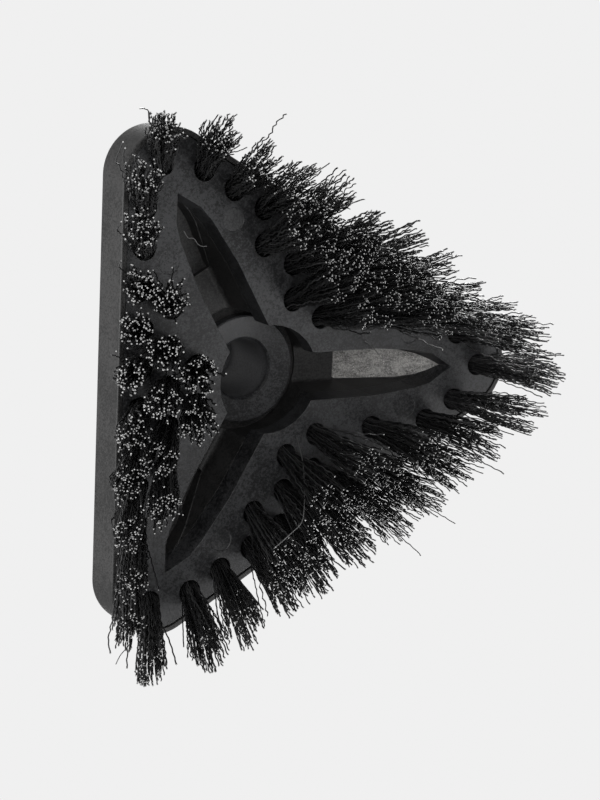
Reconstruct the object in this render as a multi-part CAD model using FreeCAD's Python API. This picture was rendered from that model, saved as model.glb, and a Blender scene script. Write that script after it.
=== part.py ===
import FreeCAD, Part
import math
import os
from FreeCAD import Vector

os.makedirs("parts", exist_ok=True)

# Triangular suction head that stands on its bristles. The hub axis is vertical, one corner points
# along +X, and every "depth" is measured upwards from the brush face, which looks down at the floor.
# Millimetres throughout. Each arm, side and corner is made once and turned about the hub axis.

ARM_ANGLES = {"front": 0, "rear_left": 120, "rear_right": 240}
SIDE_ANGLES = {"left": 60, "rear": 180, "right": 300}

# Shell
overall_width = 280.0        # across two corners
corner_radius = 28.0
bristle_height = 42.0        # brush face above the floor
wall_height = 29.0
cover_wall = 3.0
draft_inset = 0.7            # how far the sides lean in over the wall height
cover_edge_round = 2.5
rim_round = 0.9
shell_gap = 0.2              # between the cover and the block inside it

# Brush block
block_recess = 0.6           # face of the block inside the rim
block_thickness = 13.4
block_edge_round = 0.8
witness_radius = 6.4
witness_depth = 0.3

# Suction channels
channel_half_width = 13.7
channel_draft = 2.8
channel_depth = 36.0
channel_floor_round = 3.0
channel_tip_margin = 36.1    # from a corner's outermost point back to the channel's tip
ramp_start = 61.0            # from the hub axis
ramp_tip_depth = 5.5
duct_wall = 2.5
rib_depth = 43.0             # top of the raised ribs
rib_slope_start = 66.0
rib_tip_depth = 23.0
rib_top_round = 2.5

# Weight in the front arm; the same pockets in the rear arms are left empty
weight_clearance = 0.15
weight_cover = 3.5           # cover material left above the pocket
weight_edge_gap = 0.5
weight_tip_gap = 4.4

# Hub and hose swivel
hub_face_radius = 30.6
hub_face_draft = 0.7
hub_well_radius = 36.0
hub_well_depth = 38.0
hub_boss_wall = 6.0
hub_top_depth = 46.0
hub_boss_round = 3.0
swivel_clearance = 0.3
neck_radius = 21.0
flange_radius = 30.9
flange_front_depth = 30.0
flange_thickness = 6.0
inlet_radius = 17.0
inlet_depth = 32.0
inlet_chamfer = 1.3
washer_thickness = 1.4
seal_section = 1.7
seal_depth = 42.0
seal_groove_half = 1.2
clip_thickness = 1.3
clip_bite = 1.0
clip_reach = 4.0
clip_mouth = 7.0
clip_eye_radius = 0.9
clip_eye_swing = 15.5        # degrees each side of the mouth
big_tail_radius = 19.0       # inside a 38 mm hose
big_tail_length = 26.0
small_tail_radius = 16.0     # inside a 32 mm hose
small_tail_length = 23.0
tail_wall = 2.6
tail_step = 1.5              # taper between the two tails
tail_start_depth = 51.0
tail_lead = 1.0

# Handle pivot and yoke
pivot_depth = 60.4           # the collar then rests on the front rib
lug_room = 4.0               # between the retaining ring and a lug
lug_thickness = 6.0
lug_radius = 9.0
ear_gap = 0.3
ear_thickness = 6.0
bolt_radius = 3.0
bolt_clearance = 0.08
bolt_head_radius = 6.0
bolt_head_height = 3.5
pivot_washer_thickness = 1.2
pivot_washer_radius = 7.5
nut_height = 4.5
nut_radius = 5.6
socket_radius = 2.3
socket_floor = 1.2           # metal left under the socket, from the head's inner face
bolt_head_round = 1.6
yoke_height = 14.0
yoke_reach = 58.0            # pivot to the inside of the crossbar
yoke_crossbar = 8.0
yoke_throat = 15.0           # half the gap at the crossbar
yoke_flare = 7.0             # the gap opens this much over the next stretch
yoke_flare_length = 4.0
yoke_shoulder = 27.0         # half the width just behind the crossbar
yoke_round = 4.0             # bends of the yoke seen from above
collar_radius = 17.0
collar_length = 6.0
stem_radius = 14.0
stem_length = 64.0
stem_bore = 11.0
stem_end_chamfer = 1.5

# Pole buttons and their spring
button_radius = 4.0
button_clearance = 0.08
button_proud = 5.0
button_from_end = 22.0
button_flange_radius = 5.5
button_flange_thickness = 2.0
button_flange_reach = 9.0
button_dome = 1.6
button_relief = 0.6          # shallow band round the stem where the buttons stand
button_relief_half = 5.5
spring_leaf = 0.8
spring_width = 8.0
spring_gap = 0.35

# Bristle tufts
tuft_hole_radius = 6.3
tuft_hole_depth = 11.0
tuft_clearance = 0.25
tuft_tip_radius = 8.7
tuft_lean = 23.0             # degrees, outwards from the hub axis
tuft_spacing = 21.7
outer_row_margin = 13.5      # from the straight side to the row's centres
tuft_row_step = 17.0
outer_row_count = 10
middle_row_count = 5
inner_row_count = 2
corner_tuft_margin = 17.8
anchor_wire = 0.6

# Cover screws
screw_from_tip = 30.4        # back from the channel's tip, along the arm
screw_offset = 21.8
screw_radius = 2.0
screw_head_radius = 4.0
screw_head_height = 2.4
screw_bite = 9.0
screw_clearance = 0.1
screw_boss_radius = 5.5
screw_dish = 0.3
screw_head_round = 0.9
screw_point = 1.5
screw_slot = (4.4, 1.0, 1.4)  # length, width, depth

corner_distance = (overall_width / 2 - corner_radius) / math.sin(math.radians(60))
edge_distance = corner_distance * math.cos(math.radians(60)) + corner_radius
apex_distance = corner_distance + corner_radius
channel_tip = apex_distance - channel_tip_margin
lug_inner = neck_radius + clip_reach + lug_room
up = Vector(0, 0, 1)
origin = Vector(0, 0, 0)


def level(depth):
    return bristle_height + depth


def turned(shape, angle):
    copy = shape.copy()
    copy.rotate(origin, up, angle)
    return copy


def lean_in(depth):
    return draft_inset * depth / wall_height


def cylinder(radius, low, high):
    return Part.makeCylinder(radius, high - low, Vector(0, 0, level(low)), up)


def cross_cylinder(radius, x, depth, start, length):
    return Part.makeCylinder(radius, length, Vector(x, start, level(depth)), Vector(0, 1, 0))


def spin(profile):
    points = [Vector(r, 0, level(depth)) for r, depth in profile]
    return Part.Face(Part.makePolygon(points + points[:1])).revolve(origin, up, 360)


def plan_polygon(points, depth):
    corners = [Vector(x, y, level(depth)) for x, y in points]
    return Part.makePolygon(corners + corners[:1])


def side_polygon(points, half_width):
    corners = [Vector(x, -half_width, level(depth)) for x, depth in points]
    face = Part.Face(Part.makePolygon(corners + corners[:1]))
    return face.extrude(Vector(0, 2 * half_width, 0))


def mirrored_outline(steps):
    return [(x, -half) for x, half in steps] + [(x, half) for x, half in reversed(steps) if half > 0]


def triangle_wire(inset, depth):
    radius = corner_radius - inset
    edges = []
    arcs = []
    for angle in ARM_ANGLES.values():
        middle = math.radians(angle)
        centre = Vector(math.cos(middle), math.sin(middle), 0) * corner_distance
        centre.z = level(depth)
        swing = [middle + math.radians(turn) for turn in (-60, 0, 60)]
        arcs.append([centre + Vector(math.cos(a), math.sin(a), 0) * radius for a in swing])
    for here, following in zip(arcs, arcs[1:] + arcs[:1]):
        edges.append(Part.Arc(*here).toShape())
        edges.append(Part.makeLine(here[2], following[0]))
    return Part.Wire(edges)


def triangle_body(inset, low, high):
    wires = [triangle_wire(inset + lean_in(depth), depth) for depth in (low, high)]
    return Part.makeLoft(wires, True, True)


def round_level_edges(solid, depth, radius):
    at_level = [e for e in solid.Edges if all(abs(v.Z - level(depth)) < 1e-4 for v in e.Vertexes)]
    return solid.makeFillet(radius, at_level)


def ramp_depth(x):
    fall = (channel_depth - ramp_tip_depth) / (channel_tip - ramp_start)
    return channel_depth - (x - ramp_start) * fall


def rib_roof_depth(x):
    fall = (rib_depth - rib_tip_depth) / (channel_tip - rib_slope_start)
    return rib_depth - max(0.0, x - rib_slope_start) * fall


def channel_face_steps(grow=0.0):
    shoulders = ((52.7, 1.0), (24.2, 0.8), (13.9, 0.62))
    steps = [(0.0, channel_half_width + grow)]
    steps += [(channel_tip - back, channel_half_width * share + grow) for back, share in shoulders]
    return steps + [(channel_tip + 1.7 * grow, 0.0)]


def channel_floor_steps():
    half = channel_half_width - channel_draft
    shoulders = ((60.2, 1.0), (31.2, 0.69), (20.2, 0.32), (17.8, 0.0))
    return [(0.0, half)] + [(channel_tip - back, half * share) for back, share in shoulders]


def arm_void():
    outlines = [plan_polygon(mirrored_outline(channel_face_steps()), 0.0),
                plan_polygon(mirrored_outline(channel_floor_steps()), channel_depth)]
    void = Part.makeLoft(outlines, True, True)
    floor_edges = [e for e in void.Edges if e.BoundBox.ZMin > level(channel_depth - 0.1)]
    void = void.makeFillet(channel_floor_round, [e for e in floor_edges if e.BoundBox.XLength > ramp_start / 2])
    far = channel_tip + 8.0
    above = rib_depth + 5.0
    ramp = [(ramp_start, channel_depth), (far, ramp_depth(far)), (far, above), (ramp_start, above)]
    return void.cut(side_polygon(ramp, channel_half_width + 5.0))


def weight_shape(grow):
    start = ramp_start + weight_edge_gap - grow
    tip = channel_tip - weight_tip_gap + grow
    half = channel_half_width - channel_draft - weight_edge_gap + grow
    back = [(x, rib_roof_depth(x) - weight_cover + grow) for x in (tip, rib_slope_start, start)]
    slab = side_polygon([(start, ramp_depth(start)), (tip, ramp_depth(tip))] + back, half + 2.0)
    steps = [(start, half), (channel_tip - 27.0, half * 0.79), (channel_tip - 17.5, half * 0.6),
             (channel_tip - 10.0, half * 0.32), (tip, 0.0)]
    plan = Part.Face(plan_polygon(mirrored_outline(steps), 0.0))
    return slab.common(plan.extrude(Vector(0, 0, rib_depth)))


def screw_places():
    x = channel_tip - screw_from_tip
    arm = [Vector(x, side * screw_offset, 0) for side in (-1, 1)]
    return [FreeCAD.Rotation(up, angle).multVec(place) for angle in ARM_ANGLES.values() for place in arm]


def at_places(shape, places):
    copies = []
    for place in places:
        copy = shape.copy()
        copy.translate(place)
        copies.append(copy)
    return copies


def tuft_row(margin, count):
    offsets = [(i - (count - 1) / 2) * tuft_spacing for i in range(count)]
    return [Vector(edge_distance - margin, offset, 0) for offset in offsets]


TUFT_ROWS = {
    "outer_tufts": (outer_row_margin, outer_row_count),
    "middle_tufts": (outer_row_margin + tuft_row_step, middle_row_count),
    "inner_tufts": (outer_row_margin + 2 * tuft_row_step, inner_row_count),
}


def tuft_places():
    places = {}
    for row, (margin, count) in TUFT_ROWS.items():
        for side, angle in SIDE_ANGLES.items():
            turn = FreeCAD.Rotation(up, angle)
            places[f"{row}_{side}"] = [turn.multVec(spot) for spot in tuft_row(margin, count)]
    corner = Vector(apex_distance - corner_tuft_margin, 0, 0)
    places["corner_tufts"] = [FreeCAD.Rotation(up, angle).multVec(corner) for angle in ARM_ANGLES.values()]
    return places


def tuft_axis(place):
    outward = Vector(place.x, place.y, 0).normalize()
    lean = math.radians(tuft_lean)
    return outward * math.sin(lean) - up * math.cos(lean)


def along_tuft(place, depth):
    axis = tuft_axis(place)
    return Vector(place.x, place.y, level(block_recess)) + axis * ((block_recess - depth) / -axis.z)


def tuft_hole(place):
    start = along_tuft(place, block_recess + tuft_hole_depth)
    length = (tuft_hole_depth + 4.0) / math.cos(math.radians(tuft_lean))
    return Part.makeCylinder(tuft_hole_radius, length, start, tuft_axis(place))


def tuft(place):
    axis = tuft_axis(place)
    root_radius = tuft_hole_radius - tuft_clearance
    root = along_tuft(place, block_recess + tuft_hole_depth - 2 * anchor_wire - tuft_clearance)
    mouth = along_tuft(place, -2.5)
    tip = along_tuft(place, -bristle_height - 6.0)
    shank = Part.makeCylinder(root_radius, (mouth - root).Length, root, axis)
    flare = Part.makeCone(root_radius, tuft_tip_radius, (tip - mouth).Length, mouth, axis)
    floor_cut = Part.makeBox(800, 800, 60, Vector(-400, -400, -60))
    return shank.fuse(flare).removeSplitter().cut(floor_cut)


def anchor(place):
    axis = tuft_axis(place)
    middle = along_tuft(place, block_recess + tuft_hole_depth) + axis * (anchor_wire + 0.1)
    across = up.cross(axis).normalize()
    reach = tuft_hole_radius - 2 * tuft_clearance
    return Part.makeCylinder(anchor_wire, 2 * reach, middle - across * reach, across)


def brush_base():
    high = block_recess + block_thickness
    block = triangle_body(cover_wall + shell_gap, block_recess, high)
    block = round_level_edges(block, block_recess, block_edge_round)
    voids = [turned(arm_void(), angle) for angle in ARM_ANGLES.values()]
    voids += [turned(weight_shape(weight_clearance), angle) for angle in ARM_ANGLES.values()]
    voids.append(Part.makeCone(hub_face_radius, hub_face_radius + hub_face_draft, high + 1,
                               Vector(0, 0, level(0)), up))
    voids += [tuft_hole(place) for places in tuft_places().values() for place in places]
    pilot = cylinder(screw_radius + screw_clearance / 2, high - screw_bite - 1.0, high + 1)
    mark = cylinder(witness_radius, block_recess - 1, block_recess + witness_depth)
    voids += at_places(pilot, screw_places()) + at_places(mark, screw_places())
    return block.cut(voids)


def raised_rib(low):
    steps = channel_face_steps(duct_wall)
    plan = Part.Face(plan_polygon(mirrored_outline(steps), low))
    rib = plan.extrude(Vector(0, 0, rib_depth - low))
    far = channel_tip + 12.0
    over = rib_depth + 10.0
    rib = rib.cut(side_polygon([(rib_slope_start, rib_depth), (far, rib_roof_depth(far)), (far, over),
                                (rib_slope_start, over)], 2 * channel_half_width))
    roof = [e for e in rib.Edges if e.BoundBox.ZMin > level(rib_tip_depth - rib_top_round - 1.0)
            and e.BoundBox.XLength > 5.0 and abs(e.CenterOfMass.y) > 3.0]
    return rib.makeFillet(rib_top_round, roof)


def pivot_lug(side):
    start = lug_inner if side > 0 else -lug_inner - lug_thickness
    post = Part.makeBox(2 * lug_radius, lug_thickness, pivot_depth - hub_top_depth + 2.0,
                        Vector(-lug_radius, start, level(hub_top_depth - 2.0)))
    return post.fuse(cross_cylinder(lug_radius, 0, pivot_depth, start, lug_thickness))


def top_cover():
    low = block_recess + block_thickness + shell_gap
    outer = triangle_body(0.0, 0.0, wall_height)
    outer = round_level_edges(outer, wall_height, cover_edge_round)
    outer = round_level_edges(outer, 0.0, rim_round)
    shell = outer.cut(triangle_body(cover_wall, -1.0, wall_height - cover_wall))
    boss = cylinder(hub_well_radius + hub_boss_wall, low, hub_top_depth)
    boss = round_level_edges(boss, hub_top_depth, hub_boss_round)
    screw_boss = cylinder(screw_boss_radius, low, wall_height - cover_wall + 1.0)
    additions = [turned(raised_rib(low), angle) for angle in ARM_ANGLES.values()]
    additions += [boss, pivot_lug(-1), pivot_lug(1)] + at_places(screw_boss, screw_places())
    voids = [turned(arm_void(), angle) for angle in ARM_ANGLES.values()]
    voids += [turned(weight_shape(weight_clearance), angle) for angle in ARM_ANGLES.values()]
    voids.append(cylinder(hub_well_radius, 0.0, hub_well_depth))
    voids.append(cylinder(neck_radius + swivel_clearance, hub_well_depth - 1, hub_top_depth + 1))
    voids.append(cross_cylinder(bolt_radius + bolt_clearance, 0, pivot_depth, -100, 200))
    head_seat = wall_height - screw_head_height - screw_dish
    voids += at_places(cylinder(screw_radius + screw_clearance, 0, wall_height + 1), screw_places())
    voids += at_places(cylinder(screw_head_radius + screw_clearance, head_seat, wall_height + 1),
                       screw_places())
    return shell.fuse(additions).removeSplitter().cut(voids)


def cover_screws():
    seat = wall_height - screw_head_height - screw_dish
    tip = block_recess + block_thickness - screw_bite
    head_top = wall_height - screw_dish
    shank = cylinder(screw_radius, tip + screw_point, seat)
    point = Part.makeCone(0.3, screw_radius, screw_point, Vector(0, 0, level(tip)), up)
    head = round_level_edges(cylinder(screw_head_radius, seat, head_top), head_top, screw_head_round)
    length, width, depth = screw_slot
    corner = Vector(-length / 2, -width / 2, level(head_top - depth))
    slots = [Part.makeBox(length, width, depth + 1.0, corner)]
    slots.append(turned(slots[0], 90))
    screw = shank.fuse([point, head]).removeSplitter().cut(slots)
    return Part.makeCompound(at_places(screw, screw_places()))


def hose_swivel():
    back = flange_front_depth + flange_thickness
    bore = big_tail_radius - tail_wall
    small_bore = small_tail_radius - tail_wall
    seal_root = neck_radius - seal_section
    clip_low = hub_top_depth + swivel_clearance
    clip_high = clip_low + clip_thickness + 0.2
    step = tail_start_depth + big_tail_length
    end = step + tail_step + small_tail_length
    outside = [
        (inlet_radius + inlet_chamfer, inlet_depth), (flange_radius - 0.8, flange_front_depth),
        (flange_radius, flange_front_depth + 0.6), (flange_radius, back), (neck_radius, back),
        (neck_radius, seal_depth - seal_groove_half), (seal_root, seal_depth - seal_groove_half),
        (seal_root, seal_depth + seal_groove_half), (neck_radius, seal_depth + seal_groove_half),
        (neck_radius, clip_low), (neck_radius - clip_bite, clip_low),
        (neck_radius - clip_bite, clip_high), (neck_radius, clip_high),
        (neck_radius, tail_start_depth - tail_step), (big_tail_radius, tail_start_depth),
        (big_tail_radius, step), (small_tail_radius, step + tail_step),
        (small_tail_radius, end - tail_lead), (small_tail_radius - tail_lead, end),
    ]
    inside = [(small_bore, end), (small_bore, step + tail_step + 1.0), (bore, step - 0.5),
              (bore, inlet_depth + 6.0), (inlet_radius, inlet_depth + inlet_chamfer)]
    return spin(outside + inside)


def swivel_seal():
    minor = seal_section / 2
    return Part.makeTorus(neck_radius - minor, minor, Vector(0, 0, level(seal_depth)), up)


def thrust_washer():
    low = hub_well_depth - washer_thickness
    ring = cylinder(flange_radius - 1.0, low, hub_well_depth)
    return ring.cut(cylinder(neck_radius + swivel_clearance, low - 1, hub_well_depth + 1))


def retaining_ring():
    low = hub_top_depth + swivel_clearance + 0.1
    high = low + clip_thickness
    inner = neck_radius - clip_bite + 0.05
    outer = neck_radius + clip_reach
    ring = cylinder(outer, low, high).cut(cylinder(inner, low - 1, high + 1))
    corner = Vector(0, -clip_mouth / 2, level(low - 1))
    mouth = Part.makeBox(outer + 1, clip_mouth, clip_thickness + 2, corner)
    ring = ring.cut(turned(mouth, 180))
    middle = Vector(neck_radius + clip_reach / 2, 0, 0)
    eyes = [FreeCAD.Rotation(up, 180 + side * clip_eye_swing).multVec(middle) for side in (-1, 1)]
    return ring.cut(at_places(cylinder(clip_eye_radius, low - 1, high + 1), eyes))


def yoke_arms():
    ear_in = lug_inner + lug_thickness + ear_gap
    ear_out = ear_in + ear_thickness
    bend = yoke_reach / 2
    front = yoke_reach + yoke_crossbar
    inner = [(0, ear_in), (bend, ear_in), (yoke_reach - yoke_flare_length, yoke_throat + yoke_flare),
             (yoke_reach, yoke_throat)]
    outer = [(front, collar_radius - 1.0), (yoke_reach + 1.0, yoke_shoulder), (bend + 5.0, ear_out),
             (0, ear_out)]
    half = inner[::-1] + outer[::-1]
    outline = half + [(x, -y) for x, y in reversed(half)]
    arms = Part.Face(plan_polygon(outline, pivot_depth - yoke_height / 2)).extrude(up * yoke_height)
    bends = [e for e in arms.Edges if e.BoundBox.ZLength > yoke_height / 2
             and 1.0 < e.BoundBox.XMin < front - 1.0]
    return arms.makeFillet(yoke_round, bends)


def handle_yoke():
    ear_in = lug_inner + lug_thickness + ear_gap
    front = yoke_reach + yoke_crossbar
    arms = yoke_arms()
    pieces = [cross_cylinder(lug_radius, 0, pivot_depth, ear_in, ear_thickness),
              cross_cylinder(lug_radius, 0, pivot_depth, -ear_in - ear_thickness, ear_thickness)]
    along = Vector(1, 0, 0)
    axis_start = Vector(front - 2.0, 0, level(pivot_depth))
    collar = Part.makeCylinder(collar_radius, collar_length + 2.0, axis_start, along)
    stem_start = Vector(front + collar_length, 0, level(pivot_depth))
    stem = Part.makeCylinder(stem_radius, stem_length, stem_start, along)
    end_edges = [e for e in stem.Edges if e.BoundBox.XMin > front + collar_length + stem_length - 0.1]
    stem = stem.makeChamfer(stem_end_chamfer, end_edges)
    yoke = arms.fuse(pieces + [collar, stem]).removeSplitter()
    bore = Part.makeCylinder(stem_bore, stem_length + 1.0, stem_start, along)
    band_start = Vector(button_x() - button_relief_half, 0, level(pivot_depth))
    band = Part.makeCylinder(collar_radius, 2 * button_relief_half, band_start, along)
    band = band.cut(Part.makeCylinder(stem_radius - button_relief, 2 * button_relief_half, band_start, along))
    holes = [bore, band, cross_cylinder(bolt_radius + bolt_clearance, 0, pivot_depth, -100, 200),
             cross_cylinder(button_radius + button_clearance, button_x(), pivot_depth, -30, 60)]
    return yoke.cut(holes)


def button_x():
    return yoke_reach + yoke_crossbar + collar_length + stem_length - button_from_end


def pole_button(side):
    base = button_flange_reach - button_flange_thickness
    flange = cross_cylinder(button_flange_radius, button_x(), pivot_depth, base, button_flange_thickness)
    shaft = cross_cylinder(button_radius, button_x(), pivot_depth, base, stem_radius + button_proud - base)
    outer_edge = [e for e in shaft.Edges if e.BoundBox.YMin > stem_radius + button_proud - 0.1]
    button = flange.fuse(shaft.makeFillet(button_dome, outer_edge)).removeSplitter()
    return button if side > 0 else button.mirror(origin, Vector(0, 1, 0))


def pole_spring():
    start = yoke_reach + yoke_crossbar + collar_length + 3.0
    end = button_x() + button_flange_radius
    reach = button_flange_reach - button_flange_thickness - spring_gap
    legs = [(start, 0.0), (end, reach - spring_leaf), (end, reach), (start - spring_leaf, spring_leaf / 2)]
    legs += [(x, -y) for x, y in reversed(legs[1:])]
    low = pivot_depth - spring_width / 2
    return Part.Face(plan_polygon(legs, low)).extrude(Vector(0, 0, spring_width))


def bolt_start():
    return lug_inner - nut_height


def washer_start():
    return lug_inner + lug_thickness + 2 * ear_gap + ear_thickness


def hexagon(radius, start, length):
    turns = [math.radians(60 * i) for i in range(7)]
    corners = [Vector(radius * math.cos(a), start, level(pivot_depth) + radius * math.sin(a)) for a in turns]
    return Part.Face(Part.makePolygon(corners)).extrude(Vector(0, length, 0))


def both_sides(shape):
    return Part.makeCompound([shape, shape.mirror(origin, Vector(0, 1, 0))])


def pivot_bolts():
    head_start = washer_start() + pivot_washer_thickness
    shank = cross_cylinder(bolt_radius, 0, pivot_depth, bolt_start(), head_start - bolt_start() + 1.0)
    head = cross_cylinder(bolt_head_radius, 0, pivot_depth, head_start, bolt_head_height)
    outer = [e for e in head.Edges if e.BoundBox.YMin > head_start + bolt_head_height - 0.1]
    head = head.makeFillet(bolt_head_round, outer)
    socket = hexagon(socket_radius, head_start + socket_floor, bolt_head_height)
    return both_sides(shank.fuse(head).removeSplitter().cut(socket))


def pivot_washers():
    start = washer_start()
    ring = cross_cylinder(pivot_washer_radius, 0, pivot_depth, start, pivot_washer_thickness)
    hole = cross_cylinder(bolt_radius + bolt_clearance, 0, pivot_depth, start - 1, pivot_washer_thickness + 2)
    return both_sides(ring.cut(hole))


def pivot_nuts():
    nut = hexagon(nut_radius, bolt_start(), nut_height)
    hole = cross_cylinder(bolt_radius + bolt_clearance / 2, 0, pivot_depth, bolt_start() - 1, nut_height + 2)
    return both_sides(nut.cut(hole))


nodes = {
    "top_cover": top_cover(),
    "brush_base": brush_base(),
    "cover_screws": cover_screws(),
    "thrust_washer": thrust_washer(),
    "hose_swivel": hose_swivel(),
    "swivel_seal": swivel_seal(),
    "retaining_ring": retaining_ring(),
    "handle_yoke": handle_yoke(),
    "pole_spring": pole_spring(),
    "pole_button_left": pole_button(1),
    "pole_button_right": pole_button(-1),
    "pivot_bolts": pivot_bolts(),
    "pivot_washers": pivot_washers(),
    "pivot_nuts": pivot_nuts(),
    "weight_front": turned(weight_shape(0.0), ARM_ANGLES["front"]),
}
for name, places in tuft_places().items():
    nodes[name] = Part.makeCompound([tuft(place) for place in places])
all_places = [place for places in tuft_places().values() for place in places]
nodes["tuft_anchors"] = Part.makeCompound([anchor(place) for place in all_places])

# The row's origin is under the middle of the head's overall box, on the floor
whole = Part.makeCompound(list(nodes.values())).optimalBoundingBox(False, False)
for name, shape in nodes.items():
    shape.translate(Vector(-(whole.XMin + whole.XMax) / 2, 0, 0))
    shape.exportStep(f"parts/{name}.step")
    box = shape.BoundBox
    print(f"{name:22s} solids {len(shape.Solids):2d} valid {shape.isValid()} volume {shape.Volume:10.1f}",
          f"x {box.XMin:.1f} {box.XMax:.1f} y {box.YMin:.1f} {box.YMax:.1f} z {box.ZMin:.1f} {box.ZMax:.1f}")
print("hub axis at x", round(-(whole.XMin + whole.XMax) / 2, 3), "box", whole)
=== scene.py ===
import bmesh
import bpy
import math
import numpy as np
from mathutils import Euler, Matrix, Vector


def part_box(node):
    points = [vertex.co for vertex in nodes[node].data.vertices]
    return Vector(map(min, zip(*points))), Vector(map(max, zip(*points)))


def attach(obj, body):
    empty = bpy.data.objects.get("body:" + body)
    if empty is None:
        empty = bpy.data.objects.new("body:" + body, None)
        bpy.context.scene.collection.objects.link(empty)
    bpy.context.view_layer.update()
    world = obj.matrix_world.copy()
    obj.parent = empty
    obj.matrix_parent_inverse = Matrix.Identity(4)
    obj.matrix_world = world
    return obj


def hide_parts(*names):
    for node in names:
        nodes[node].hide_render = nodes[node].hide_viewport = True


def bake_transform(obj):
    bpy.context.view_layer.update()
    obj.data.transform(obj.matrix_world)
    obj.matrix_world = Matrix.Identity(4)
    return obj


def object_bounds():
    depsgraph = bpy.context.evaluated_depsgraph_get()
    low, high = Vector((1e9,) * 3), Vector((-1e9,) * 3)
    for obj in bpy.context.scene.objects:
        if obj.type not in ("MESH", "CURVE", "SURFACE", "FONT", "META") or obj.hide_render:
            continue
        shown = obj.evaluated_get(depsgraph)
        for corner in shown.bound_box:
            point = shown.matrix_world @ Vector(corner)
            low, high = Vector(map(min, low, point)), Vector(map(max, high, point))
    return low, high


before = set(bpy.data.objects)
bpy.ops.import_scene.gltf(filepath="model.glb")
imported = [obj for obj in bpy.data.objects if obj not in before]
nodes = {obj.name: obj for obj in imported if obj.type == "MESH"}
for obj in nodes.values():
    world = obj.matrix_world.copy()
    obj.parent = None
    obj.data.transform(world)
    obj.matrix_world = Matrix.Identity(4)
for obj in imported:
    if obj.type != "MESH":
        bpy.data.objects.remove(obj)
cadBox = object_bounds()
print("frame loaded with", len(nodes), "nodes")

# Everything is in metres, bristles down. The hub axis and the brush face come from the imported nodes.
hubLow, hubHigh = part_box("hose_swivel")
hubX = (hubLow.x + hubHigh.x) / 2
hubY = (hubLow.y + hubHigh.y) / 2
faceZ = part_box("top_cover")[0].z  # rim level


class Reading:  # one output socket, so that masks can be written as sums
    def __init__(self, finish, socket):
        self.finish = finish
        self.socket = socket

    def maths(self, operation, first, second=0.0, clamp=False):
        settings = {"operation": operation, "use_clamp": clamp}
        return self.finish.node("Math", settings, {0: first, 1: second})

    def __add__(self, other):
        return self.maths("ADD", self, other)

    def __sub__(self, other):
        return self.maths("SUBTRACT", self, other)

    def __rsub__(self, other):
        return self.maths("SUBTRACT", other, self)

    def __mul__(self, other):
        return self.maths("MULTIPLY", self, other)

    def __pow__(self, other):
        return self.maths("POWER", self, other)

    __radd__ = __add__
    __rmul__ = __mul__

    def clipped(self):
        return self.maths("ADD", self, 0.0, True)


class Finish:  # one material while it is being put together
    def __init__(self, name, **uniform):
        self.material = bpy.data.materials.new(name)
        self.material.use_nodes = True
        self.tree = self.material.node_tree
        self.shader = self.tree.nodes["Principled BSDF"]
        for socket, value in uniform.items():
            self.shader.inputs[socket.replace("_", " ")].default_value = value

    def feed(self, socket, value):
        if isinstance(value, Reading):
            self.tree.links.new(value.socket, socket)
        else:
            socket.default_value = value

    def node(self, kind, settings=None, inputs=None, output=0):
        made = self.tree.nodes.new("ShaderNode" + kind)
        for key, value in (settings or {}).items():
            setattr(made, key, value)
        for key, value in (inputs or {}).items():
            self.feed(made.inputs[key], value)
        return Reading(self, made.outputs[output])

    def place(self, stretch=(1, 1, 1)):
        here = self.node("TexCoord", output="Object")
        return self.node("Mapping", None, {"Vector": here, "Scale": stretch})

    def cloud(self, size, detail=3.0, rough=0.55, where=None, distortion=0.0):
        inputs = {"Vector": where or self.place(), "Scale": 1 / size, "Detail": detail,
                  "Roughness": rough, "Distortion": distortion}
        return self.node("TexNoise", None, inputs)

    def cells(self, size, feature="F1", where=None):
        return self.node("TexVoronoi", {"feature": feature}, {"Vector": where or self.place(), "Scale": 1 / size})

    def between(self, value, low, high, first=0.0, last=1.0):
        inputs = {"Value": value, "From Min": low, "From Max": high, "To Min": first, "To Max": last}
        return self.node("MapRange", {"clamp": True, "interpolation_type": "SMOOTHSTEP"}, inputs)

    def blend(self, mask, first, second):
        pair = [(*c, 1) if isinstance(c, tuple) and len(c) == 3 else c for c in (first, second)]
        return self.node("Mix", {"data_type": "RGBA"}, {0: mask, 6: pair[0], 7: pair[1]}, 2)

    def edges(self, reach):  # the mask is 0 on the flat and rises on a corner; the second value is its normal
        rounded = self.node("Bevel", {"samples": 6}, {"Radius": reach})
        flat = self.node("NewGeometry", output="Normal")
        facing = self.node("VectorMath", {"operation": "DOT_PRODUCT"}, {0: rounded, 1: flat}, "Value")
        return (1 - facing) * 3.0, rounded

    def bump(self, height, distance, strength=1.0, over=None):
        inputs = {"Height": height, "Distance": distance, "Strength": strength}
        if over is not None:
            inputs["Normal"] = over
        return self.node("Bump", None, inputs)

    def finished(self, **varying):
        for socket, value in varying.items():
            self.feed(self.shader.inputs[socket.replace("_", " ")], value)
        return self.material


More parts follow.
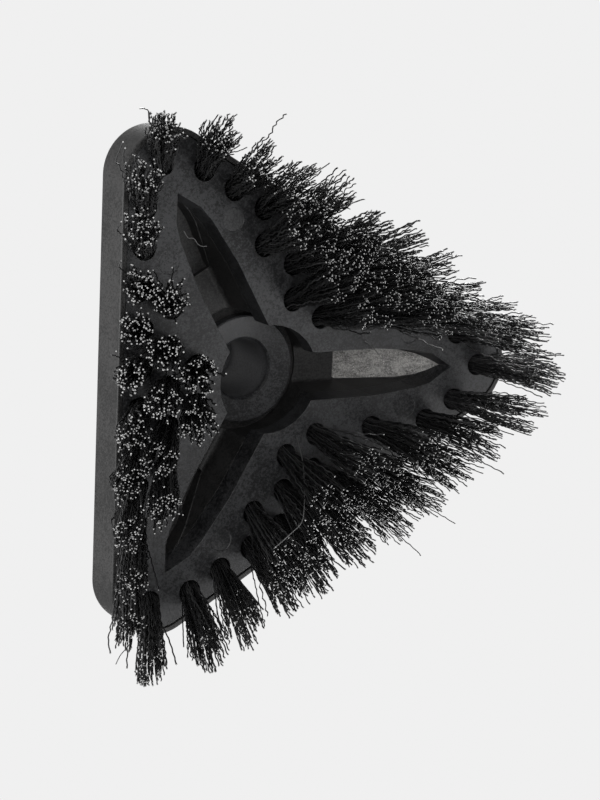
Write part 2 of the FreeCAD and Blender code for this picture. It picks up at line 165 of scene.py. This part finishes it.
# The moulded plastics, from dark to light with pale edges that are partly real scuffing and partly a painted
# highlight; lengths are in metres.
plasticLooks = {
    "cover_plastic": {"dark": (0.012, 0.012, 0.012), "light": (0.048, 0.047, 0.047), "scuffHighlightTone": (0.12, 0.118, 0.115),
                      "rough": 0.52, "grain": 0.00045, "grainHeight": 0.00008, "edgeScuffHighlightAmount": 0.55, "edge": 0.0006},
    "brush_block_plastic": {"dark": (0.006, 0.006, 0.007), "light": (0.054, 0.055, 0.058),
                            "scuffHighlightTone": (0.17, 0.17, 0.17), "rough": 0.50, "grain": 0.0005, "grainHeight": 0.00010,
                            "edgeScuffHighlightAmount": 0.8, "edge": 0.0007,
                            "pins": {"reach": 0.0064, "tone": (0.085, 0.086, 0.088),
                                     "spots": {(-0.0265, -0.0895): 0.75, (-0.0265, 0.0895): 0.2,
                                               (0.0908, -0.0218): 0.25}}},
    "swivel_plastic": {"dark": (0.010, 0.010, 0.011), "light": (0.058, 0.059, 0.063), "scuffHighlightTone": (0.20, 0.20, 0.20),
                       "rough": 0.42, "grain": 0.0004, "grainHeight": 0.00003, "edgeScuffHighlightAmount": 0.6, "edge": 0.0004,
                       # painted light: the paler tone, and the radius inside which it is laid in the suction bore
                       "paintedBoreLightRadius": 0.0171, "paintedBoreLightTone": (0.130, 0.131, 0.137)},
    "handle_plastic": {"dark": (0.026, 0.026, 0.027), "light": (0.040, 0.040, 0.040), "scuffHighlightTone": (0.11, 0.11, 0.11),
                       "rough": 0.50, "grain": 0.0005, "grainHeight": 0.00010, "edgeScuffHighlightAmount": 0.6, "edge": 0.0006},
    "button_plastic": {"dark": (0.18, 0.18, 0.185), "light": (0.23, 0.23, 0.235), "scuffHighlightTone": (0.32, 0.32, 0.32),
                       "rough": 0.40, "grain": 0.0004, "grainHeight": 0.00003, "edgeScuffHighlightAmount": 0.5, "edge": 0.0004},
}


def mouldedPlastic(name, look):
    f = Finish(name, IOR=1.5)
    patches = f.between(f.cloud(0.028, 4.0, 0.6, distortion=0.4), 0.36, 0.66)
    mottle = f.between(f.cloud(0.0030, 5.0, 0.75), 0.30, 0.70)
    speckle = f.between(f.cloud(0.0012, 4.0, 0.8), 0.38, 0.62)
    grain = f.cells(look["grain"], "SMOOTH_F1")
    fine = f.cloud(look["grain"] * 1.6, 2.0, 0.6)
    scuffs = f.between(f.cloud(0.004, 5.0, 0.7, f.place((1.0, 6.0, 1.0)), 1.2), 0.60, 0.72)
    edge, rounded = f.edges(look["edge"])
    # pale edges: partly real scuffing and partly a painted highlight standing in for light catching the corners
    edgeScuffHighlightMask = (edge * f.between(f.cloud(0.006, 4.0, 0.7), 0.35, 0.7)).clipped() * look["edgeScuffHighlightAmount"]
    shade = f.between(patches * 0.25 + mottle * 0.30 + speckle * 0.45, 0.26, 0.74)
    tone = f.blend(shade, look["dark"], look["light"])
    tone = f.blend(scuffs * 0.16, tone, look["scuffHighlightTone"])
    tone = f.blend(edgeScuffHighlightMask, tone, look["scuffHighlightTone"])
    dust = f.between(f.cells(0.0026), 0.10, 0.03) * f.between(f.cloud(0.012), 0.5, 0.62)
    tone = f.blend(dust * 0.35, tone, (0.20, 0.195, 0.185))
    if "paintedBoreLightRadius" in look:  # painted light: a paler tone inside the suction bore stands in for light falling into it
        off = f.node("VectorMath", {"operation": "SUBTRACT"}, {0: f.place(), 1: (hubX, hubY, 0.0)})
        flat = f.node("VectorMath", {"operation": "MULTIPLY"}, {0: off, 1: (1, 1, 0)})
        away = f.node("VectorMath", {"operation": "LENGTH"}, {0: flat}, "Value")
        paintedBoreLight = f.between(away, look["paintedBoreLightRadius"], look["paintedBoreLightRadius"] - 0.0006)
        tone = f.blend(paintedBoreLight * (0.55 + speckle * 0.45), tone, look["paintedBoreLightTone"])
    if "pins" in look:  # ejector pins leave paler discs, placed from the hub axis
        pins = look["pins"]
        for (x, y), strength in pins["spots"].items():
            centre = (hubX + x, hubY + y, faceZ)
            apart = f.node("VectorMath", {"operation": "DISTANCE"}, {0: f.place(), 1: centre}, "Value")
            disc = f.between(apart, pins["reach"], pins["reach"] - 0.0004)
            tone = f.blend(disc * strength * (0.5 + speckle * 0.5), tone, pins["tone"])
    rough = look["rough"] + patches * 0.06 + (speckle - 0.5) * 0.10 - scuffs * 0.05
    rough = rough + (mottle - 0.5) * 0.12 - edgeScuffHighlightMask * 0.12
    height = grain * 0.6 + fine * 0.4 - scuffs * 0.3
    normal = f.bump(height, look["grainHeight"], 0.8, rounded)
    return f.finished(Base_Color=tone, Roughness=rough, Normal=normal)


# The metals: the weight's rough coating and the drawn or turned steels.
metalLooks = {
    "weight_zinc": {"dark": (0.045, 0.044, 0.042), "light": (0.66, 0.645, 0.625), "rough": 0.50},
    "stainless_screw": {"dark": (0.42, 0.42, 0.41), "light": (0.60, 0.60, 0.59), "rough": 0.28},
    "spring_steel": {"dark": (0.34, 0.34, 0.34), "light": (0.50, 0.50, 0.49), "rough": 0.30},
    "anchor_wire": {"dark": (0.34, 0.33, 0.30), "light": (0.50, 0.48, 0.44), "rough": 0.35},
}


def galvanised(name, look):  # dull flowed coating with crystal blotches, ripples and pits
    f = Finish(name, Metallic=0.25, IOR=1.5)
    flow = f.cloud(0.010, 5.0, 0.6, f.place((0.6, 1.6, 1.0)), 1.4)
    crystals = f.node("TexVoronoi", {"feature": "F1"}, {"Vector": f.place(), "Scale": 260.0}, "Color")
    flake = f.node("RGBToBW", None, {0: crystals})
    speck = f.cloud(0.0009, 4.0, 0.75)
    ripple = f.cloud(0.0022, 3.0, 0.5, f.place((0.8, 3.0, 1.0)), 2.0)
    pits = f.between(f.cells(0.0011), 0.20, 0.06)
    shade = f.between(flow, 0.36, 0.64) * 0.30 + flake * 0.14 + f.between(ripple, 0.40, 0.60) * 0.18
    value = (shade + f.between(speck, 0.40, 0.60) * 0.40).clipped()
    edge, rounded = f.edges(0.0005)
    tone = f.blend(value, look["dark"], look["light"])
    tone = f.blend(edge.clipped() * 0.5, tone, (0.42, 0.415, 0.40))
    flecks = f.between(f.cells(0.0013), 0.30, 0.12) * f.between(speck, 0.42, 0.56)
    tone = f.blend(flecks * 0.75, tone, (0.95, 0.93, 0.90))
    tone = f.blend(pits * 0.55, tone, (0.045, 0.043, 0.040))
    rough = look["rough"] + (speck - 0.5) * 0.25 + (1 - value) * 0.10
    height = flow * 0.5 + ripple * 0.35 + speck * 0.25 - pits * 0.35
    return f.finished(Base_Color=tone, Roughness=rough, Normal=f.bump(height, 0.00022, 0.9, rounded))


def turnedSteel(name, look):  # drawn or turned metal with fine lines and handling marks
    f = Finish(name, Metallic=1.0)
    lines = f.cloud(0.00035, 3.0, 0.6, f.place((1.0, 0.12, 1.0)))
    stain = f.between(f.cloud(0.004, 4.0, 0.65), 0.42, 0.68)
    tone = f.blend((lines * 0.5 + (1 - stain) * 0.5).clipped(), look["dark"], look["light"])
    rough = look["rough"] + stain * 0.12 + (lines - 0.5) * 0.12
    return f.finished(Base_Color=tone, Roughness=rough, Normal=f.bump(lines, 0.00002, 0.6, f.edges(0.0002)[1]))


def softRubber(name):
    f = Finish(name, IOR=1.5)
    bloom = f.cloud(0.005, 4.0, 0.6)
    grain = f.cloud(0.0004, 2.0, 0.6)
    tone = f.blend(f.between(bloom, 0.4, 0.7), (0.012, 0.012, 0.012), (0.030, 0.029, 0.028))
    return f.finished(Base_Color=tone, Roughness=0.62 + bloom * 0.14, Normal=f.bump(grain, 0.00004, 0.6))


def slipPlastic(name):  # pale acetal, a little waxy
    f = Finish(name, IOR=1.48)
    wax = f.cloud(0.006, 4.0, 0.6)
    tone = f.blend(wax, (0.52, 0.51, 0.47), (0.66, 0.65, 0.61))
    return f.finished(Base_Color=tone, Roughness=0.34 + wax * 0.16, Normal=f.bump(f.cloud(0.0008), 0.00003, 0.5))


finishes = {slot: mouldedPlastic(slot, look) for slot, look in plasticLooks.items()}
finishes["weight_zinc"] = galvanised("weight_zinc", metalLooks["weight_zinc"])
for steel in ("stainless_screw", "spring_steel", "anchor_wire"):
    finishes[steel] = turnedSteel(steel, metalLooks[steel])
finishes["seal_rubber"] = softRubber("seal_rubber")
finishes["slip_washer"] = slipPlastic("slip_washer")

nodeSlots = {
    "top_cover": "cover_plastic", "brush_base": "brush_block_plastic", "hose_swivel": "swivel_plastic",
    "handle_yoke": "handle_plastic", "pole_button_left": "button_plastic", "pole_button_right": "button_plastic",
    "cover_screws": "stainless_screw", "pivot_bolts": "stainless_screw", "pivot_washers": "stainless_screw",
    "pivot_nuts": "stainless_screw", "retaining_ring": "spring_steel", "pole_spring": "spring_steel",
    "swivel_seal": "seal_rubber", "thrust_washer": "slip_washer", "tuft_anchors": "anchor_wire",
    "weight_front": "weight_zinc",
}
for nodeName, slotName in nodeSlots.items():
    nodes[nodeName].data.materials.clear()
    nodes[nodeName].data.materials.append(finishes[slotName])
print("finishes on", len(nodeSlots), "nodes")


def springLeg(name, side):
    shape = bmesh.new()
    shape.from_mesh(nodes["pole_spring"].data)
    whole = shape.verts[:] + shape.edges[:] + shape.faces[:]
    cut = bmesh.ops.bisect_plane(shape, geom=whole, plane_co=(0, 0, 0), plane_no=(0, side, 0), clear_inner=True)
    rim = [edge for edge in cut["geom_cut"] if isinstance(edge, bmesh.types.BMEdge)]
    bmesh.ops.holes_fill(shape, edges=rim)
    mesh = bpy.data.meshes.new(name)
    shape.to_mesh(mesh)
    shape.free()
    mesh.materials.append(finishes["spring_steel"])
    leg = bpy.data.objects.new(name, mesh)
    bpy.context.scene.collection.objects.link(leg)
    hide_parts("pole_spring")
    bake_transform(leg)


springLeg("spring_leg_left", 1)
springLeg("spring_leg_right", -1)
print("button spring split into its two legs")


# The bristles, one bundle of crimped strands in each tuft hole.
bristleLook = {
    "perTuft": 92, "radius": 0.00037, "sides": 4, "step": 0.0018, "flare": 1.25,
    "startIn": 0.004,          # from the bottom of the hole
    "mouthReach": 0.0052,      # bundle radius where it leaves the hole
    "tipReach": 0.0122, "rearTipReach": 0.0084, "opening": 0.85,
    "rearLean": (-0.009, 0.011, 0.007),  # more lean at the rear: back, left end, right end
    "rearFrom": 0.050, "rearOver": 0.050, "endReach": 0.13,  # where that lean starts and is full
    "noseLean": 0.004, "noseFrom": 0.075, "noseOver": 0.03,
    "clumps": 7, "clumping": 0.35,
    "tuftSway": 0.055,         # each tuft's own lean, radians
    "strandSway": 0.046,
    "strayShare": 0.08, "strayReach": 0.0050,
    "crimpLength": 0.0064, "crimpHeight": 0.00050,
    "overhang": 0.004, "easing": 0.004,  # past the CAD box before a strand is eased back, and the most after that
    "trim": 0.0009,            # unevenness of the cut ends
    "holeToMouth": 0.0116,     # from the bottom of a hole up to the brush face
    "rootJitter": 0.045, "clumpJitter": 0.10, "clumpSpread": 1.08,
    "strandBow": 0.0006, "tuftBow": 0.0007,
    "shortest": 0.00015,       # least that is cut off a strand
    "seed": 11,
}


def nylon(name, dark, light, rough):
    f = Finish(name, IOR=1.8)
    strand = f.node("Attribute", {"attribute_name": "strandTone"}, output="Fac")
    along = f.cloud(0.0035, 3.0, 0.6)
    tone = f.blend(((strand * 0.7 + along * 0.45) ** 2.0).clipped(), dark, light)
    drawn = f.cloud(0.0003, 2.0, 0.6, f.place((1, 1, 0.15)))
    return f.finished(Base_Color=tone, Roughness=rough + (strand - 0.5) * 0.16 + (along - 0.5) * 0.1,
                      Normal=f.bump(drawn, 0.000015, 0.5))


bristleNylon = nylon("bristle_nylon", (0.004, 0.004, 0.0045), (0.060, 0.060, 0.061), 0.27)
# painted highlight: the cut ends get a near-white colour that stands in for the glint of their cut faces
cutEndHighlightNylon = nylon("bristle_cut_end_painted_highlight", (0.16, 0.16, 0.16), (0.96, 0.96, 0.95), 0.30)


def tuftSeats(nodeName):  # where each tuft sits and which way it points, from the flat bottom of its CAD solid
    shape = bmesh.new()
    shape.from_mesh(nodes[nodeName].data)
    bmesh.ops.remove_doubles(shape, verts=shape.verts, dist=1e-6)
    shape.faces.ensure_lookup_table()
    seen = set()
    seats = []
    for start in shape.faces:
        if start.index in seen:
            continue
        seen.add(start.index)
        queue, bottom = [start], []
        while queue:
            face = queue.pop()
            if face.normal.z > 0.7:
                bottom.append(face)
            for edge in face.edges:
                for other in edge.link_faces:
                    if other.index not in seen:
                        seen.add(other.index)
                        queue.append(other)
        area = sum(face.calc_area() for face in bottom)
        middle = sum((face.calc_center_median() * face.calc_area() for face in bottom), Vector()) / area
        inward = sum((face.normal * face.calc_area() for face in bottom), Vector())
        seats.append((np.array(middle), -np.array(inward.normalized())))
    shape.free()
    return sorted(seats, key=lambda seat: tuple(np.round(seat[0], 5)))


def strandPaths(seat, dice):
    look = bristleLook
    root, axis = seat
    across = np.cross(axis, (0.0, 0.0, 1.0))
    across /= np.linalg.norm(across)
    beside = np.cross(axis, across)
    count = look["perTuft"]
    turn = np.arange(count) * math.pi * (3 - math.sqrt(5)) + dice.uniform(0, 6.28)
    spread = np.sqrt((np.arange(count) + 0.5) / count)
    disc = np.stack([np.cos(turn) * spread, np.sin(turn) * spread], 1)
    disc += dice.normal(0, look["rootJitter"], (count, 2))
    # strands gather in a few pointed clumps towards the tips
    clumpTurn = np.arange(look["clumps"]) * 2.4 + dice.uniform(0, 6.28)
    clumpSpread = np.sqrt((np.arange(look["clumps"]) + 0.5) / look["clumps"])
    clumps = np.stack([np.cos(clumpTurn) * clumpSpread, np.sin(clumpTurn) * clumpSpread], 1)
    clumps += dice.normal(0, look["clumpJitter"], clumps.shape)
    nearest = np.argmin(((disc[:, None] - clumps[None]) ** 2).sum(2), 1)
    gathered = clumps[nearest] * look["clumpSpread"] + (disc - clumps[nearest]) * (1 - look["clumping"])
    mouth = look["holeToMouth"] / -axis[2]
    fullLength = root[2] / -axis[2]
    sway = dice.normal(0, look["tuftSway"], 2) * fullLength * 0.5
    back, left, right = look["rearLean"]
    rear = np.clip((-look["rearFrom"] - root[0]) / look["rearOver"], 0, 1)
    nose = np.clip((root[0] - look["noseFrom"]) / look["noseOver"], 0, 1)
    ends = (left if root[1] > 0 else right) * root[1] / look["endReach"]
    push = np.array([back * rear + look["noseLean"] * nose, ends * rear, 0.0])
    splay = look["tipReach"] + (look["rearTipReach"] - look["tipReach"]) * rear
    tip = gathered * splay + sway + (push @ across, push @ beside)
    tip += dice.normal(0, look["strandSway"], (count, 2)) * fullLength * 0.5
    stray = dice.random(count) < look["strayShare"]
    tip[stray] += dice.normal(0, look["strayReach"], (stray.sum(), 2))
    bow = dice.normal(0, look["strandBow"], (count, 2)) + dice.normal(0, look["tuftBow"], 2)
    wave = look["crimpLength"] * dice.uniform(0.85, 1.2, count)
    phase = dice.uniform(0, 6.28, (2, count))
    plane = dice.uniform(0, 3.14, count)
    height = look["crimpHeight"] * dice.uniform(0.5, 1.35, count)
    cut = np.abs(dice.normal(0, look["trim"], count)) + look["shortest"]
    length = np.full(count, fullLength)
    rings = int((fullLength - look["startIn"]) / look["step"])
    share = np.linspace(0, 1, rings + 1)
    start = disc * look["mouthReach"]
    for settle in range(4):  # the strands are lengthened or cut until their ends lie near the floor
        s = look["startIn"] + share[None, :] * (length - look["startIn"])[:, None]
        free = np.clip((s - mouth) / (fullLength - mouth), 0, None)
        opened = free ** look["opening"]
        x = start[:, :1] + (tip[:, :1] - start[:, :1]) * opened
        y = start[:, 1:] + (tip[:, 1:] - start[:, 1:]) * opened
        bend = np.sin(np.clip(free, 0, 1) * math.pi)
        crimp = np.sin(s * (6.2832 / wave)[:, None] + phase[0][:, None])
        crimp *= height[:, None] * (0.35 + 0.65 * np.clip(free * 3, 0, 1))
        drift = height[:, None] * 0.6 * np.sin(s * (2.1 / wave)[:, None] + phase[1][:, None])
        x = x + bow[:, :1] * bend + crimp * np.cos(plane)[:, None] + drift
        y = y + bow[:, 1:] * bend + crimp * np.sin(plane)[:, None] - drift
        path = root + s[..., None] * axis + x[..., None] * across + y[..., None] * beside
        length = length + (path[:, -1, 2] - cut) / -axis[2]
    for side in (0, 1):  # ease back what would stand too far outside the box
        middle = (cadBox[0][side] + cadBox[1][side]) / 2
        half = (cadBox[1][side] - cadBox[0][side]) / 2 + look["overhang"]
        away = path[..., side] - middle
        over = np.clip(np.abs(away) - half, 0, None)
        eased = half + look["easing"] * (1 - np.exp(-over / (2 * look["easing"])))
        path[..., side] = middle + np.where(over > 0, np.sign(away) * eased, away)
    return path, across, beside


def strandMesh(name, bundles, dice):
    look = bristleLook
    sides = look["sides"]
    turns = (np.arange(sides) + 0.5) * 2 * math.pi / sides
    verts, faces, ends, tones = [], [], [], []
    base = 0
    for path, across, beside in bundles:
        count, rings = path.shape[:2]
        thick = look["radius"] * dice.uniform(0.88, 1.12, (count, 1, 1, 1))
        grow = np.ones(rings)
        grow[-1] = look["flare"]
        ring = np.cos(turns)[:, None] * across + np.sin(turns)[:, None] * beside
        body = path[:, :, None, :] + ring[None, None] * thick * grow[None, :, None, None]
        cap = body[:, -1]
        verts += [body.reshape(-1, 3), cap.reshape(-1, 3)]
        strand = np.arange(count)[:, None, None] * rings * sides + base
        level = np.arange(rings - 1)[None, :, None] * sides
        side = np.arange(sides)[None, None, :]
        after = (side + 1) % sides
        quads = [strand + level + side, strand + level + after,
                 strand + level + sides + after, strand + level + sides + side]
        faces.append(np.stack(np.broadcast_arrays(*quads), -1).reshape(-1, 4))
        capBase = base + count * rings * sides
        ends.append(capBase + np.arange(count * sides).reshape(count, sides))
        tone = dice.random(count)
        tones += [np.repeat(tone, rings * sides), np.repeat(tone, sides)]
        base = capBase + count * sides
    allFaces = np.concatenate(faces + ends)
    bodyCount = sum(len(f) for f in faces)
    mesh = bpy.data.meshes.new(name)
    mesh.from_pydata(np.concatenate(verts), [], allFaces)
    mesh.materials.append(bristleNylon)
    mesh.materials.append(cutEndHighlightNylon)
    isEnd = np.arange(len(allFaces)) >= bodyCount
    mesh.polygons.foreach_set("material_index", isEnd.astype(np.int32))
    mesh.polygons.foreach_set("use_smooth", ~isEnd)
    mesh.attributes.new("strandTone", "FLOAT", "POINT").data.foreach_set("value", np.concatenate(tones))
    mesh.validate()
    piece = bpy.data.objects.new(name, mesh)
    bpy.context.scene.collection.objects.link(piece)
    return piece


tuftNodes = ["corner_tufts"] + [f"{row}_tufts_{side}" for row in ("outer", "middle", "inner")
                                for side in ("left", "rear", "right")]
dice = np.random.default_rng(bristleLook["seed"])
for nodeName in tuftNodes:
    bundles = [strandPaths(seat, dice) for seat in tuftSeats(nodeName)]
    piece = strandMesh(nodeName.replace("tufts", "bristles"), bundles, dice)
    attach(piece, "head")
    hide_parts(nodeName)
print("bristles on", len(tuftNodes), "groups of tufts")

strayLook = {"radius": 0.00026, "sides": 5, "step": 0.0012}
strayRoutes = {  # loose strands caught on the brush, millimetres in the frame
    "strand_low": [(-12.4, 34.0, 40), (-13.6, 38.9, 34), (-15.5, 44.7, 27), (-18.0, 49.9, 21), (-21.2, 57.8, 14),
                   (-25.7, 63.7, 6), (-28.4, 71.5, 2), (-35.6, 75.9, 1), (-41.5, 80.4, 1), (-46.3, 84.4, 2)],
    "strand_channel": [(-87.8, -84.9, 40), (-85.9, -82.2, 41), (-84.0, -80.5, 41.5), (-82.2, -81.0, 41),
                       (-80.4, -79.9, 41), (-78.5, -77.1, 41.5), (-75.5, -75.9, 41), (-73.7, -76.4, 40)],
    "strand_plate": [(26.4, -20.0, 36), (29.9, -18.1, 38), (35.8, -14.3, 42), (42.5, -10.5, 48), (50.2, -6.4, 58)],
    "strand_left": [(-116.0, 118.0, 34), (-119.4, 128.7, 22), (-124.3, 132.6, 15), (-130.3, 133.2, 9),
                    (-135.2, 134.5, 5), (-138.6, 137.6, 2)],
}


def looseStrand(name, points):  # a smooth line through the route, swept with a small round section
    line = bpy.data.curves.new(name + "_line", "CURVE")
    line.dimensions = "3D"
    spline = line.splines.new("NURBS")
    spline.points.add(len(points) - 1)
    for spot, (x, y, z) in zip(spline.points, points):
        spot.co = (x / 1000, y / 1000, z / 1000, 1)
    spline.order_u = 3
    spline.use_endpoint_u = True
    line.resolution_u = 8
    line.bevel_depth = strayLook["radius"]
    line.bevel_resolution = 1
    line.use_fill_caps = True
    holder = bpy.data.objects.new(name + "_line", line)
    bpy.context.scene.collection.objects.link(holder)
    mesh = bpy.data.meshes.new_from_object(holder.evaluated_get(bpy.context.evaluated_depsgraph_get()))
    bpy.data.objects.remove(holder)
    mesh.materials.clear()
    mesh.materials.append(strayNylon)
    mesh.polygons.foreach_set("use_smooth", np.ones(len(mesh.polygons), bool))
    tone = mesh.attributes.new("strandTone", "FLOAT", "POINT")
    tone.data.foreach_set("value", np.full(len(mesh.vertices), 0.8, np.float32))
    strand = bpy.data.objects.new(name, mesh)
    bpy.context.scene.collection.objects.link(strand)
    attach(strand, "head")


strayNylon = nylon("bristle_stray", (0.03, 0.03, 0.03), (0.16, 0.16, 0.16), 0.30)
for strandName, route in strayRoutes.items():
    looseStrand(strandName, route)
print("loose strands:", len(strayRoutes))


# Floor, light and camera.
stageLook = {
    "floorSize": 6.0, "floorTone": (0.20, 0.20, 0.20), "backTone": 0.871, "ambient": 0.34,
    "cameraPlace": (-0.6004, -0.2439, -0.9596), "cameraTurn": (166.017, 29.882, -3.043), "lens": 95.9,
}


def floorSheet():  # seen from above only, so that the underside can be looked at
    size = stageLook["floorSize"]
    mesh = bpy.data.meshes.new("floor")
    mesh.from_pydata([(-size, -size, 0), (size, -size, 0), (size, size, 0), (-size, size, 0)], [], [(0, 1, 2, 3)])
    f = Finish("pale_floor", Roughness=0.8, Emission_Color=(1, 1, 1, 1), Emission_Strength=0.52)
    soft = f.cloud(0.5, 3.0, 0.5)
    f.finished(Base_Color=f.blend(soft, stageLook["floorTone"], (0.22, 0.22, 0.22)))
    clear = f.tree.nodes.new("ShaderNodeBsdfTransparent")
    pick = f.tree.nodes.new("ShaderNodeMixShader")
    back = f.node("NewGeometry", output="Backfacing")
    f.feed(pick.inputs[0], back)
    f.tree.links.new(f.shader.outputs[0], pick.inputs[1])
    f.tree.links.new(clear.outputs[0], pick.inputs[2])
    f.tree.links.new(pick.outputs[0], f.tree.nodes["Material Output"].inputs["Surface"])
    mesh.materials.append(f.material)
    floor = bpy.data.objects.new("floor", mesh)
    bpy.context.scene.collection.objects.link(floor)
    floor.visible_shadow = False
    floor.visible_diffuse = False
    floor.visible_glossy = False


def softbox(name, place, target, size, power):
    light = bpy.data.lights.new(name, "AREA")
    light.shape = "RECTANGLE"
    light.size, light.size_y = size
    light.energy = power
    lamp = bpy.data.objects.new(name, light)
    lamp.location = place
    lamp.rotation_euler = (Vector(target) - Vector(place)).to_track_quat("-Z", "Y").to_euler()
    bpy.context.scene.collection.objects.link(lamp)


def studioWorld():
    world = bpy.data.worlds.new("studio")
    world.use_nodes = True
    tree = world.node_tree
    tree.nodes["Background"].inputs["Color"].default_value = (1, 1, 1, 1)
    tree.nodes["Background"].inputs["Strength"].default_value = stageLook["ambient"]
    seen = tree.nodes.new("ShaderNodeBackground")
    seen.inputs["Color"].default_value = (1, 1, 1, 1)
    seen.inputs["Strength"].default_value = stageLook["backTone"]
    rays = tree.nodes.new("ShaderNodeLightPath")
    pick = tree.nodes.new("ShaderNodeMixShader")
    tree.links.new(rays.outputs["Is Camera Ray"], pick.inputs[0])
    tree.links.new(tree.nodes["Background"].outputs[0], pick.inputs[1])
    tree.links.new(seen.outputs[0], pick.inputs[2])
    tree.links.new(pick.outputs[0], tree.nodes["World Output"].inputs["Surface"])
    bpy.context.scene.world = world


floorSheet()
studioWorld()
middle = (0.0, 0.0, 0.06)
softbox("front", (-0.55, -0.30, -1.15), middle, (1.2, 1.2), 4.8)
softbox("key", (0.86, 0.80, -0.82), middle, (0.8, 0.8), 8.5)
softbox("side", (-1.20, 0.05, 0.12), middle, (0.3, 0.8), 10.5)
softbox("topFront", (0.9, -1.0, 1.3), middle, (0.9, 0.9), 30.0)
softbox("topSide", (0.9, 1.1, 1.2), middle, (1.2, 1.2), 16.0)

cameraData = bpy.data.cameras.new("camera")
cameraData.sensor_width = 36.0
cameraData.lens = stageLook["lens"]
camera = bpy.data.objects.new("camera", cameraData)
camera.location = stageLook["cameraPlace"]
camera.rotation_euler = Euler([math.radians(turn) for turn in stageLook["cameraTurn"]], "XYZ")
cameraData.clip_start = 0.01
bpy.context.scene.collection.objects.link(camera)
bpy.context.scene.camera = camera
bpy.context.scene.view_settings.view_transform = "Standard"
print("floor, lights and camera placed")
